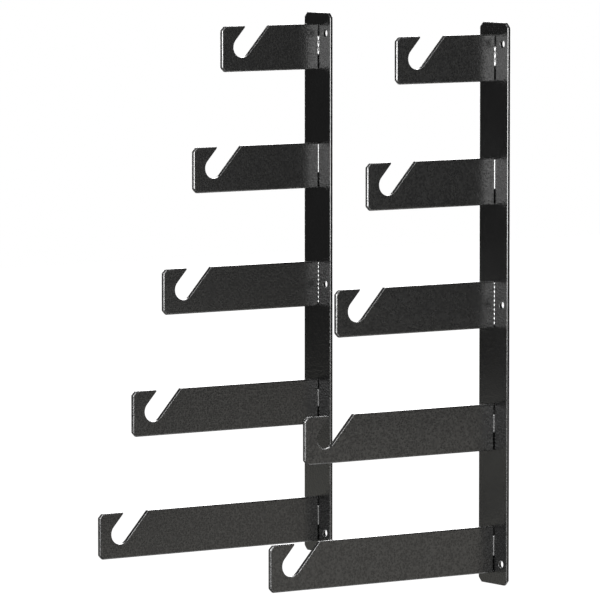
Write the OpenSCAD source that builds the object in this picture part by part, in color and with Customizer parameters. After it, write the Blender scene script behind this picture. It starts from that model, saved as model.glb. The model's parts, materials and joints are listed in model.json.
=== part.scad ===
// Two-bracket wall rack: five welded arms on each of two upright wall plates.
// +X runs along the wall, +Y points into the wall, +Z is up.
// The origin is on the wall, midway between the brackets and at half their height.

/* [Rack] */
// Distance between the centre lines of the two brackets
bracket_spacing = 260; // [60:1:1200]

/* [Wall plate] */
// Width of each plate
plate_w = 40; // [36:1:80]
// Height of each plate
plate_h = 480; // [460:1:700]
// Thickness of each plate
plate_t = 3; // [2:0.5:6]
// Size of the 45 degree cut on each plate corner
plate_cut = 4; // [1:0.5:8]

/* [Screw holes] */
// Diameter of each screw hole
hole_d = 6.5; // [4:0.5:9]
// Distance of each hole column from the plate's centre line
hole_out = 12; // [12:0.5:14]
// Distance of the end rows from the plate's ends
hole_end = 18; // [10:0.5:40]

/* [Arms] */
// How far each arm stands out from its plate, top arm first
reach = [103, 133, 165, 197, 232]; // [60:1:400]
// Distance between neighbouring arms, centre to centre
arm_pitch = 105; // [60:1:105]
// Height of each arm
arm_h = 40; // [34:1:44]
// Thickness of each arm
arm_t = 4; // [3:0.5:8]
// Size of the 45 degree cut on each tip corner
tip_cut = 3.5; // [1:0.5:8]

/* [Slots] */
// Width of the slot, which is also the diameter of its round seat
slot_w = 18.5; // [8:0.5:22]
// Distance of the seat's centre from the arm's tip
seat_in = 21.5; // [16:0.5:40]
// Depth of the seat's centre below the arm's top edge
seat_down = 18.5; // [10:0.5:22]
// Lean of the slot from upright, with its mouth nearer the wall
slot_lean = 42; // [0:1:50]

/* [Welds] */
// Leg length of each weld bead
weld_leg = 1.5; // [1:0.5:5]
// Top end of each weld below its arm's top edge, top arm first
weld_from = [10, 1, 1, 9, 8]; // [0:1:15]
// Bottom end of each weld below its arm's top edge, top arm first
weld_to = [28, 27, 38, 25, 26]; // [20:1:40]

/* [Hidden] */
$fn = 96;

plate_colour = [0.12, 0.12, 0.12];
arm_colour = [0.22, 0.22, 0.21];
weld_colour = [0.45, 0.45, 0.45];

left_x = -bracket_spacing / 2;
right_x = bracket_spacing / 2;
hole_row = plate_h / 2 - hole_end;
slot_run = 2 * arm_h; // long enough to cut out through the top edge
clear = 1; // how far each cutting tool runs past the metal

// Height of arm number i above half height; arm 1 is the top one
function arm_z(i) = (3 - i) * arm_pitch;

// A w by h rectangle, centred, with a 45 degree cut c on every corner
module cut_rectangle(w, h, c) {
    polygon([
        [-w / 2 + c, -h / 2], [w / 2 - c, -h / 2], [w / 2, -h / 2 + c], [w / 2, h / 2 - c],
        [w / 2 - c, h / 2], [-w / 2 + c, h / 2], [-w / 2, h / 2 - c], [-w / 2, -h / 2 + c]
    ]);
}

// One plate, its back on the wall, with two columns of three screw holes
module wall_plate(x) {
    color(plate_colour)
    translate([x, 0, 0])
    rotate([90, 0, 0])
    difference() {
        linear_extrude(plate_t) cut_rectangle(plate_w, plate_h, plate_cut);
        for (side = [-1, 1], row = [-1, 0, 1])
            translate([side * hole_out, row * hole_row, -clear])
            cylinder(h = plate_t + 2 * clear, d = hole_d);
    }
}

// An arm's outline: X is the distance out from the plate, Y the height about its centre
module arm_outline(length) {
    polygon([
        [0, -arm_h / 2], [length - tip_cut, -arm_h / 2], [length, -arm_h / 2 + tip_cut],
        [length, arm_h / 2 - tip_cut], [length - tip_cut, arm_h / 2], [0, arm_h / 2]
    ]);
}

// The tool that cuts the slot: a round seat, and a straight run that leans back to the wall
module slot_tool(length) {
    translate([length - seat_in, arm_h / 2 - seat_down, 0])
    rotate([0, 0, slot_lean]) {
        cylinder(h = arm_t + 2 * clear, d = slot_w, center = true);
        translate([-slot_w / 2, 0, -arm_t / 2 - clear])
        cube([slot_w, slot_run, arm_t + 2 * clear]);
    }
}

// Arm number i of the bracket at x, standing on edge on the plate's front face
module arm(x, i) {
    color(arm_colour)
    translate([x, -plate_t, arm_z(i)])
    rotate([90, 0, -90])
    difference() {
        linear_extrude(arm_t, center = true) arm_outline(reach[i - 1]);
        slot_tool(reach[i - 1]);
    }
}

// One quarter-round bead in the corner between the plate and one side of arm i
module weld_bead(i, side) {
    bead_h = weld_to[i - 1] - weld_from[i - 1];
    translate([side * arm_t / 2, -plate_t, arm_h / 2 - weld_to[i - 1]])
    intersection() {
        cylinder(h = bead_h, r = weld_leg);
        translate([side > 0 ? 0 : -weld_leg, -weld_leg, 0])
        cube([weld_leg, weld_leg, bead_h]);
    }
}

// The pair of stitch beads that hold arm number i of the bracket at x
module weld(x, i) {
    color(weld_colour)
    translate([x, 0, arm_z(i)])
    for (side = [-1, 1])
        weld_bead(i, side);
}

wall_plate(left_x);  // left_wall_plate
arm(left_x, 1);  // left_arm_1
arm(left_x, 2);  // left_arm_2
arm(left_x, 3);  // left_arm_3
arm(left_x, 4);  // left_arm_4
arm(left_x, 5);  // left_arm_5
weld(left_x, 1);  // left_weld_1
weld(left_x, 2);  // left_weld_2
weld(left_x, 3);  // left_weld_3
weld(left_x, 4);  // left_weld_4
weld(left_x, 5);  // left_weld_5
wall_plate(right_x);  // right_wall_plate
arm(right_x, 1);  // right_arm_1
arm(right_x, 2);  // right_arm_2
arm(right_x, 3);  // right_arm_3
arm(right_x, 4);  // right_arm_4
arm(right_x, 5);  // right_arm_5
weld(right_x, 1);  // right_weld_1
weld(right_x, 2);  // right_weld_2
weld(right_x, 3);  // right_weld_3
weld(right_x, 4);  // right_weld_4
weld(right_x, 5);  // right_weld_5
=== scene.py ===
"""Looks for the two-bracket wall rack: powder-coated steel plates and arms, with rippled root welds."""
import json
import math

import bmesh
import bpy
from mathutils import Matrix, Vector


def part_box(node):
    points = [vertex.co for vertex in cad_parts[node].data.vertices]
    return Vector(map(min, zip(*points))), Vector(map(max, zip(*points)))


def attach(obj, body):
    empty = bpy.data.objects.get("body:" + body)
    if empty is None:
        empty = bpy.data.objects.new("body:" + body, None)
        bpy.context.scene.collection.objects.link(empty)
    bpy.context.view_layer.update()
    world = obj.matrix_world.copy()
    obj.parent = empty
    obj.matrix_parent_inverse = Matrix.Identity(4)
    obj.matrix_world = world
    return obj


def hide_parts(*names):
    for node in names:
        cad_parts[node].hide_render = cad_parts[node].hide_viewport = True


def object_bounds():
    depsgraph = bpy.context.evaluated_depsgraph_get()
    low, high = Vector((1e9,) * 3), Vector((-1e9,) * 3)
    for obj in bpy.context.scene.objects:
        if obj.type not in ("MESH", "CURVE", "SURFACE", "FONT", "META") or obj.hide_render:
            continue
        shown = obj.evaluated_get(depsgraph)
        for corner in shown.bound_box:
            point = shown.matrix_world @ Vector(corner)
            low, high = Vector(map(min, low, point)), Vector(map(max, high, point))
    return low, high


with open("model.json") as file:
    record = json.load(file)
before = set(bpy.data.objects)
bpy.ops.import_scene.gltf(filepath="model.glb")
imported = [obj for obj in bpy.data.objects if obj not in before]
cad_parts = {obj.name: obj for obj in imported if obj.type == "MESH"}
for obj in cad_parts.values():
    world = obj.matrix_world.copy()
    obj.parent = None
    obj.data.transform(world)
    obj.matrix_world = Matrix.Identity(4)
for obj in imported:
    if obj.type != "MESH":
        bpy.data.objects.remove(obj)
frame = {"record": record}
CAD_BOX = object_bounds()
CENTRE = (CAD_BOX[0] + CAD_BOX[1]) / 2

MM = 0.001
SIDES = ("left", "right")
ARMS = (1, 2, 3, 4, 5)

# Steel shapes, in metres. Places and overall sizes come from the frame.
PLATE_CUT = 4 * MM
TIP_CUT = 3.5 * MM
CUT_SOFTNESS = 2 * MM
SLOT_LEAN = math.radians(42)
LIP_RADIUS = 0.9 * MM
SHOULDER_RADIUS = 1.2 * MM
ROOT_RADIUS = 0.5 * MM

# How far each edge is rounded over through the thickness
PLATE_EDGE = 0.9 * MM
HOLE_EDGE = 0.3 * MM
TIP_EDGE = 1.4 * MM
ROOT_EDGE = 1.1 * MM
SLOT_EDGE = 0.5 * MM
EDGE_STEPS = 6
ARC_STEP = math.radians(7)
SAME_POINT = 1e-7

# Each arm's root weld, top arm first: ripple length, ripple depth and share of the full leg
WELDS = (
    (6.2 * MM, 0.65, 0.75),
    (2.6 * MM, 0.03, 0.65),
    (3.8 * MM, 0.5, 0.42),
    (2.8 * MM, 0.03, 0.75),
    (3.2 * MM, 0.05, 0.75),
)
RIPPLE_LAG = 0.2
RIPPLE_STEPS = 10
BEAD_STEPS = 12
BEAD_RUN_IN = 0.8
BEAD_END = 0.25

# Powder coat: how many dimples, peel bumps, patches and worn spots lie along a metre; the worn spots are
# partly wear and partly a painted edge highlight
DIMPLES = 560
PEEL_BUMPS = 1200
PATCHES = 140
WEAR_AND_HIGHLIGHT_SPOTS = 700
# The other reliefs as shares of the dimples', and the depth of them all
PEEL_SHARE = 0.2
PATCH_SHARE = 0.06
RELIEF = 0.5 * MM
# On a rounded edge: how much of the relief flows out, and how thin and how pale the coat gets; the pale
# coat is partly wear and partly a painted highlight
EDGE_FLOW = 0.85
EDGE_WEAR_AND_HIGHLIGHT = 0.5
WORN_AND_HIGHLIGHT_TONE = (0.07, 0.07, 0.07, 1)
# The paint's own shine, and the clear top layer's roughness
BASE_SHINE = 0.62
CLEAR_ROUGHNESS = 0.22

# Camera and studio: lens and sensor in millimetres, distances in metres
CAMERA_AZIMUTH = math.radians(55)
CAMERA_ELEVATION = math.radians(5)
CAMERA_DISTANCE = 5.15
CAMERA_LENS = 360
CAMERA_SIDESTEP = 0.004
SENSOR = 36
FLOOR_DROP = 3.6
FLOOR_REACH = 40
SKY = 0.085


# ---------------------------------------------------------------- outlines

def rounded_outline(corners, fraction):
    """Points round a closed outline whose corners are (x, y, radius, edge).

    The corners go anticlockwise round a piece and clockwise round a hole. Every corner moves
    into the steel by fraction of its edge. The number of points stays the same: two arcs that
    meet share a point, whatever the fraction. Returns pairs of a point and the edge there."""
    count = len(corners)
    points = []
    for i, (x, y, radius, edge) in enumerate(corners):
        before = Vector(corners[i - 1][:2])
        here = Vector((x, y))
        after = Vector(corners[(i + 1) % count][:2])
        inward = (here - before).normalized()
        outward = (after - here).normalized()
        turn = math.atan2(inward.x * outward.y - inward.y * outward.x, inward.dot(outward))
        left = Vector((-inward.y, inward.x))
        sign = 1 if turn > 0 else -1
        setback = radius * math.tan(abs(turn) / 2)
        centre = here - inward * setback + left * sign * radius
        spoke = -left * sign * (radius - sign * fraction * edge)
        steps = max(2, round(abs(turn) / ARC_STEP))
        for k in range(steps + 1):
            angle = turn * k / steps
            c, s = math.cos(angle), math.sin(angle)
            point = centre + Vector((spoke.x * c - spoke.y * s, spoke.x * s + spoke.y * c))
            if not points or (point - points[-1][0]).length > SAME_POINT:
                points.append((point, edge))
    if (points[0][0] - points[-1][0]).length < SAME_POINT:
        points.pop()
    return points


def cut_rectangle(width, height, cut):
    """Corners of a centred rectangle whose corners are cut off at 45 degrees."""
    w, h = width / 2, height / 2
    pairs = (
        (-w + cut, -h), (w - cut, -h), (w, -h + cut), (w, h - cut),
        (w - cut, h), (-w + cut, h), (-w, h - cut), (-w, -h + cut),
    )
    return [(x, y, CUT_SOFTNESS, PLATE_EDGE) for x, y in pairs]


def circle_corners(centre, radius):
    """Four corners that rounded_outline turns into a clockwise circle, for a hole."""
    x, y = centre
    signs = ((-1, -1), (-1, 1), (1, 1), (1, -1))
    return [(x + a * radius, y + b * radius, radius, HOLE_EDGE) for a, b in signs]


def arm_corners(length, height, seat, seat_radius):
    """Corners of an arm's outline: x outwards from the plate, y up, seat the slot's round end."""
    half = height / 2
    along = Vector((-math.sin(SLOT_LEAN), math.cos(SLOT_LEAN)))
    across = Vector((along.y, -along.x))
    lip = seat + across * seat_radius
    shoulder = seat - across * seat_radius
    lip += along * ((half - lip.y) / along.y)
    shoulder += along * ((half - shoulder.y) / along.y)
    end = seat - along * seat_radius
    outer, inner = end + across * seat_radius, end - across * seat_radius
    return [
        (0, -half, ROOT_RADIUS, ROOT_EDGE),
        (length - TIP_CUT, -half, CUT_SOFTNESS, TIP_EDGE),
        (length, -half + TIP_CUT, CUT_SOFTNESS, TIP_EDGE),
        (length, half - TIP_CUT, CUT_SOFTNESS, TIP_EDGE),
        (length - TIP_CUT, half, CUT_SOFTNESS, TIP_EDGE),
        (lip.x, half, LIP_RADIUS, SLOT_EDGE),
        (outer.x, outer.y, seat_radius, SLOT_EDGE),
        (inner.x, inner.y, seat_radius, SLOT_EDGE),
        (shoulder.x, half, SHOULDER_RADIUS, SLOT_EDGE),
        (0, half, ROOT_RADIUS, ROOT_EDGE),
    ]


# ---------------------------------------------------------------- meshes

def bridge(bm, lower, upper):
    """Quads between two loops of the same length."""
    count = len(lower)
    for i in range(count):
        j = (i + 1) % count
        bm.faces.new((lower[i], lower[j], upper[j], upper[i]))


def fill(bm, loops):
    """A flat face between an outer loop and any hole loops."""
    edges = []
    for loop in loops:
        for i, vert in enumerate(loop):
            edges.append(bm.edges.get((vert, loop[(i + 1) % len(loop)])))
    bmesh.ops.triangle_fill(bm, use_beauty=True, use_dissolve=False, edges=edges)


def slab(name, outlines, thickness, place):
    """A closed plate with rounded edges. outlines is the outer outline's corners, then the holes'.

    place(x, y, level) turns the outline's plane and the level through the thickness into 3-D.
    The attribute "rounded" is 1 half way round each rounded edge and 0 on the flats."""
    bm = bmesh.new()
    rounded = bm.verts.layers.float.new("rounded")
    angles = [math.pi / 2 * k / EDGE_STEPS for k in range(EDGE_STEPS + 1)]
    passes = [(angle, -1) for angle in angles] + [(angle, 1) for angle in reversed(angles)]
    bottoms, tops = [], []
    for corners in outlines:
        rings = []
        for angle, sign in passes:
            loop = []
            for point, edge in rounded_outline(corners, 1 - math.sin(angle)):
                level = sign * (thickness / 2 - edge * (1 - math.cos(angle)))
                vert = bm.verts.new(place(point.x, point.y, level))
                vert[rounded] = math.sin(2 * angle)
                loop.append(vert)
            rings.append(loop)
        for lower, upper in zip(rings, rings[1:]):
            bridge(bm, lower, upper)
        bottoms.append(rings[0])
        tops.append(rings[-1])
    fill(bm, bottoms)
    fill(bm, tops)
    bmesh.ops.recalc_face_normals(bm, faces=bm.faces)
    return finish_mesh(name, bm)


def finish_mesh(name, bm, weighted=True):
    """A smooth-shaded object from bm. Weighted by area, its normals keep the flat faces flat."""
    mesh = bpy.data.meshes.new(name)
    bm.to_mesh(mesh)
    bm.free()
    mesh.polygons.foreach_set("use_smooth", [True] * len(mesh.polygons))
    obj = bpy.data.objects.new(name, mesh)
    bpy.context.scene.collection.objects.link(obj)
    if weighted:
        modifier = obj.modifiers.new("Flat faces", "WEIGHTED_NORMAL")
        modifier.weight = 100
    return obj


# ---------------------------------------------------------------- pieces

def mount(name):
    """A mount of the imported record, by name."""
    return next(m for m in frame["record"]["mounts"] if m["name"] == name)


def make_plate(side):
    """A wall plate, its screw holes placed as the record's mounts say."""
    node = side + "_wall_plate"
    low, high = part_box(node)
    middle = (low + high) / 2
    size = high - low
    holes = []
    for name in (side + "_end_screws", side + "_middle_screws"):
        dims = mount(name)["dims"]
        rows = (-1, 1) if "spacing_y_mm" in dims else (0,)
        for row in rows:
            for column in (-1, 1):
                x = column * dims["spacing_x_mm"] / 2 * MM
                z = row * dims.get("spacing_y_mm", 0) / 2 * MM
                holes.append(circle_corners((x, z), dims["hole_r_mm"] * MM))

    def place(x, y, level):
        return (middle.x + x, middle.y - level, middle.z + y)

    outlines = [cut_rectangle(size.x, size.z, PLATE_CUT)] + holes
    return slab(side + "_plate_steel", outlines, size.y, place), node


def make_arm(side, number):
    """An arm, its slot placed by the seat mount in the record."""
    node = f"{side}_arm_{number}"
    low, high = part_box(node)
    middle = (low + high) / 2
    size = high - low
    seat = mount(f"{side}_seat_{number}")
    seat_at = Vector((high.y - seat["pos_m"][1], seat["pos_m"][2] - middle.z))

    def place(x, y, level):
        return (middle.x + level, high.y - x, middle.z + y)

    corners = arm_corners(size.y, size.z, seat_at, seat["dims"]["r_mm"] * MM)
    return slab(f"{side}_arm_{number}_steel", [corners], size.x, place), node


def bead_size(distance, leg):
    """The share of its full leg that a bead has at a distance from its end: a round start and stop."""
    run_in = BEAD_RUN_IN * leg
    if distance >= run_in:
        return 1
    return max(BEAD_END, math.sqrt(1 - (1 - distance / run_in) ** 2))


def add_bead(bm, corner, direction, low, high, leg, ripple, depth):
    """One rippled fillet bead up a corner. direction is the way along X off the arm's face."""
    length = high - low
    along_steps = RIPPLE_STEPS * max(3, round(length / ripple))
    rows = []
    for i in range(along_steps + 1):
        up = length * i / along_steps
        size = leg * bead_size(min(up, length - up), leg)
        row = [bm.verts.new((corner.x, corner.y, low + up))]
        for k in range(BEAD_STEPS + 1):
            angle = math.pi / 2 * k / BEAD_STEPS
            bow = math.sin(2 * angle)
            lag = RIPPLE_LAG * bow
            swell = 1 - depth * bow * (1 - abs(math.sin(math.pi * (up / ripple + lag))))
            reach = size * swell
            row.append(bm.verts.new((
                corner.x + direction * reach * math.cos(angle),
                corner.y - reach * math.sin(angle),
                low + up,
            )))
        rows.append(row)
    for lower, upper in zip(rows, rows[1:]):
        bridge(bm, lower, upper)
    bm.faces.new(rows[0])
    bm.faces.new(rows[-1])


def make_weld(side, number):
    """The beads on both sides of one arm's root."""
    node = f"{side}_weld_{number}"
    low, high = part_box(node)
    arm_low, arm_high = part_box(f"{side}_arm_{number}")
    ripple, depth, share = WELDS[number - 1]
    leg = (high.y - low.y) * share
    bm = bmesh.new()
    for direction, x in ((-1, arm_low.x), (1, arm_high.x)):
        add_bead(bm, Vector((x, high.y, 0)), direction, low.z, high.z, leg, ripple, depth)
    bmesh.ops.recalc_face_normals(bm, faces=bm.faces)
    return finish_mesh(f"{side}_weld_{number}_bead", bm, weighted=False), node


# ---------------------------------------------------------------- materials

def principled(name):
    """A new material that is one Principled shader, and that shader."""
    material = bpy.data.materials.new(name)
    material.use_nodes = True
    nodes = material.node_tree.nodes
    nodes.clear()
    output = nodes.new("ShaderNodeOutputMaterial")
    shader = nodes.new("ShaderNodeBsdfPrincipled")
    material.node_tree.links.new(shader.outputs["BSDF"], output.inputs["Surface"])
    return material, shader


def powder_coat(name, dark, light, rough, clear, bump, ior=1.5):
    """Fine hammered powder coat: shallow dimples, a finer orange peel, and thinner, paler coat on the
    edges, the paleness partly wear and partly a painted highlight.

    The tone runs from dark to light and the clear top layer's weight over the range clear, both
    with the dimples. The roughness runs over the range rough, patch by patch."""
    material, shader = principled(name)
    nodes, links = material.node_tree.nodes, material.node_tree.links
    place = nodes.new("ShaderNodeTexCoord")

    def noise(scale, detail):
        node = nodes.new("ShaderNodeTexNoise")
        node.inputs["Scale"].default_value = scale
        node.inputs["Detail"].default_value = detail
        links.new(place.outputs["Object"], node.inputs["Vector"])
        return node.outputs["Fac"]

    def spread(value, low, high, to_low, to_high):
        node = nodes.new("ShaderNodeMapRange")
        for key, number in (("From Min", low), ("From Max", high), ("To Min", to_low), ("To Max", to_high)):
            node.inputs[key].default_value = number
        links.new(value, node.inputs["Value"])
        return node.outputs["Result"]

    def maths(operation, *values):
        node = nodes.new("ShaderNodeMath")
        node.operation = operation
        for socket, value in zip(node.inputs, values):
            if isinstance(value, (int, float)):
                socket.default_value = value
            else:
                links.new(value, socket)
        return node.outputs["Value"]

    def colour_mix(factor):
        node = nodes.new("ShaderNodeMix")
        node.data_type = "RGBA"
        links.new(factor, node.inputs["Factor"])
        return node

    cells = nodes.new("ShaderNodeTexVoronoi")
    cells.feature = "SMOOTH_F1"
    cells.inputs["Scale"].default_value = DIMPLES
    cells.inputs["Randomness"].default_value = 0.8
    cells.inputs["Smoothness"].default_value = 0.5
    links.new(place.outputs["Object"], cells.inputs["Vector"])
    dimples = cells.outputs["Distance"]
    patches = noise(PATCHES, 3)
    grain = spread(maths("MULTIPLY_ADD", patches, PATCH_SHARE, dimples), 0.3, 0.7, 0, 1)

    rounded = nodes.new("ShaderNodeAttribute")
    rounded.attribute_name = "rounded"
    edge = spread(rounded.outputs["Fac"], 0, 0.8, 0, 1)

    relief = nodes.new("ShaderNodeBump")
    relief.inputs["Distance"].default_value = RELIEF
    links.new(maths("MULTIPLY_ADD", noise(PEEL_BUMPS, 2), PEEL_SHARE, dimples), relief.inputs["Height"])
    links.new(maths("MULTIPLY_ADD", edge, -EDGE_FLOW * bump, bump), relief.inputs["Strength"])
    links.new(relief.outputs["Normal"], shader.inputs["Normal"])

    tone = colour_mix(grain)
    tone.inputs["A"].default_value = (*dark, 1)
    tone.inputs["B"].default_value = (*light, 1)
    # Paler coat in spots on the rounded edges: partly wear, partly a painted highlight
    worn_and_highlight = colour_mix(maths("MULTIPLY", edge, spread(noise(WEAR_AND_HIGHLIGHT_SPOTS, 4), 0.42, 0.62, 0, EDGE_WEAR_AND_HIGHLIGHT)))
    links.new(tone.outputs["Result"], worn_and_highlight.inputs["A"])
    worn_and_highlight.inputs["B"].default_value = WORN_AND_HIGHLIGHT_TONE
    links.new(worn_and_highlight.outputs["Result"], shader.inputs["Base Color"])

    links.new(spread(patches, 0.35, 0.65, *rough), shader.inputs["Roughness"])
    links.new(spread(grain, 0, 1, *clear), shader.inputs["Coat Weight"])
    shader.inputs["Coat Roughness"].default_value = CLEAR_ROUGHNESS
    shader.inputs["Specular IOR Level"].default_value = BASE_SHINE
    shader.inputs["IOR"].default_value = ior
    return material


# ---------------------------------------------------------------- studio

def look_at(obj, target):
    obj.rotation_euler = (Vector(target) - obj.location).to_track_quat("-Z", "Y").to_euler()


def panel(name, azimuth, height, distance, size, glow, aim=None, colour=(1, 1, 1)):
    """A softbox round the rack that faces it at the height aim, or else at its own height.

    Heights are above the rack's middle. glow is how bright the face is, whatever its size."""
    data = bpy.data.lights.new(name, "AREA")
    data.shape = "RECTANGLE"
    data.size, data.size_y = size
    data.energy = glow * math.pi * size[0] * size[1]
    data.color = colour
    light = bpy.data.objects.new(name, data)
    angle = math.radians(azimuth)
    light.location = CENTRE + Vector((math.sin(angle) * distance, -math.cos(angle) * distance, height))
    bpy.context.scene.collection.objects.link(light)
    look_at(light, CENTRE + Vector((0, 0, height if aim is None else aim)))
    light.visible_camera = False


def make_camera():
    data = bpy.data.cameras.new("Camera")
    data.sensor_width = SENSOR
    data.lens = CAMERA_LENS
    data.clip_end = 100
    camera = bpy.data.objects.new("Camera", data)
    back = Vector((
        math.sin(CAMERA_AZIMUTH) * math.cos(CAMERA_ELEVATION),
        -math.cos(CAMERA_AZIMUTH) * math.cos(CAMERA_ELEVATION),
        math.sin(CAMERA_ELEVATION),
    ))
    right = Vector((math.cos(CAMERA_AZIMUTH), math.sin(CAMERA_AZIMUTH), 0))
    aim = CENTRE + right * CAMERA_SIDESTEP
    camera.location = aim + back * CAMERA_DISTANCE
    look_at(camera, aim)
    bpy.context.scene.collection.objects.link(camera)
    bpy.context.scene.camera = camera


def make_floor(height):
    """A pale floor, far enough below the rack for the rack to be looked at from underneath."""
    bm = bmesh.new()
    bmesh.ops.create_grid(bm, x_segments=1, y_segments=1, size=FLOOR_REACH)
    mesh = bpy.data.meshes.new("floor")
    bm.to_mesh(mesh)
    bm.free()
    floor = bpy.data.objects.new("floor", mesh)
    floor.location.z = height
    bpy.context.scene.collection.objects.link(floor)
    material, shader = principled("pale floor")
    shader.inputs["Base Color"].default_value = (0.9, 0.9, 0.9, 1)
    shader.inputs["Roughness"].default_value = 0.9
    shader.inputs["Emission Color"].default_value = (1, 1, 1, 1)
    shader.inputs["Emission Strength"].default_value = 1.0
    mesh.materials.append(material)
    floor.visible_glossy = False
    floor.visible_diffuse = False


def make_world():
    """White behind the rack, and a dim even sky that lights it."""
    world = bpy.data.worlds.new("studio")
    bpy.context.scene.world = world
    world.use_nodes = True
    nodes, links = world.node_tree.nodes, world.node_tree.links
    nodes.clear()
    output = nodes.new("ShaderNodeOutputWorld")
    mix = nodes.new("ShaderNodeMixShader")
    seen = nodes.new("ShaderNodeBackground")
    lit = nodes.new("ShaderNodeBackground")
    path = nodes.new("ShaderNodeLightPath")
    seen.inputs["Color"].default_value = (1, 1, 1, 1)
    lit.inputs["Color"].default_value = (SKY, SKY, SKY, 1)
    links.new(path.outputs["Is Camera Ray"], mix.inputs["Fac"])
    links.new(lit.outputs["Background"], mix.inputs[1])
    links.new(seen.outputs["Background"], mix.inputs[2])
    links.new(mix.outputs["Shader"], output.inputs["Surface"])


# ---------------------------------------------------------------- build

COAT = {
    # The plates' coat is the arms' coat painted several times darker: painted shade on the plate fronts
    "plate_paint": powder_coat(
        "plate powder coat in painted shade", (0.0004, 0.0004, 0.0004), (0.001, 0.001, 0.001),
        rough=(0.17, 0.21), clear=(0.3, 0.5), bump=0.6, ior=1.44,
    ),
    "arm_paint": powder_coat(
        "arm powder coat", (0.003, 0.003, 0.003), (0.0065, 0.0065, 0.0063),
        rough=(0.24, 0.29), clear=(0.12, 0.88), bump=0.5,
    ),
    "weld_paint": powder_coat(
        "weld powder coat", (0.01, 0.01, 0.01), (0.02, 0.02, 0.02),
        rough=(0.12, 0.16), clear=(0.6, 0.8), bump=0.05, ior=1.6,
    ),
}


def dress(obj, node, slot):
    obj.data.materials.append(COAT[slot])
    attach(obj, "root")
    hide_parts(node)


for side in SIDES:
    dress(*make_plate(side), "plate_paint")
    for number in ARMS:
        dress(*make_arm(side, number), "arm_paint")
        dress(*make_weld(side, number), "weld_paint")

make_camera()
make_floor(CAD_BOX[0].z - FLOOR_DROP)
make_world()
bpy.context.scene.view_settings.view_transform = "Standard"

panel("key right", 56, 0.37, 1.1, (0.9, 0.9), 14)
panel("key front", 28, 0.37, 1.1, (0.66, 0.9), 14)
panel("top", 40, 1.1, 0.9, (0.7, 0.7), 6, aim=0)
panel("low side", 124, -0.4, 0.6, (1.0, 0.55), 0.47, colour=(1, 0.96, 0.88))
panel("low key", 50, -0.42, 1.1, (1.1, 0.6), 2.2)
panel("low front", -56, -0.53, 0.6, (0.9, 0.7), 0.42, colour=(1, 0.99, 0.9))
panel("under", 170, -0.9, 0.6, (0.8, 0.6), 1.2, aim=0)
panel("left", 240, 0.35, 1.2, (0.7, 0.9), 5)
panel("back", 195, 0.35, 1.2, (0.7, 0.9), 4)
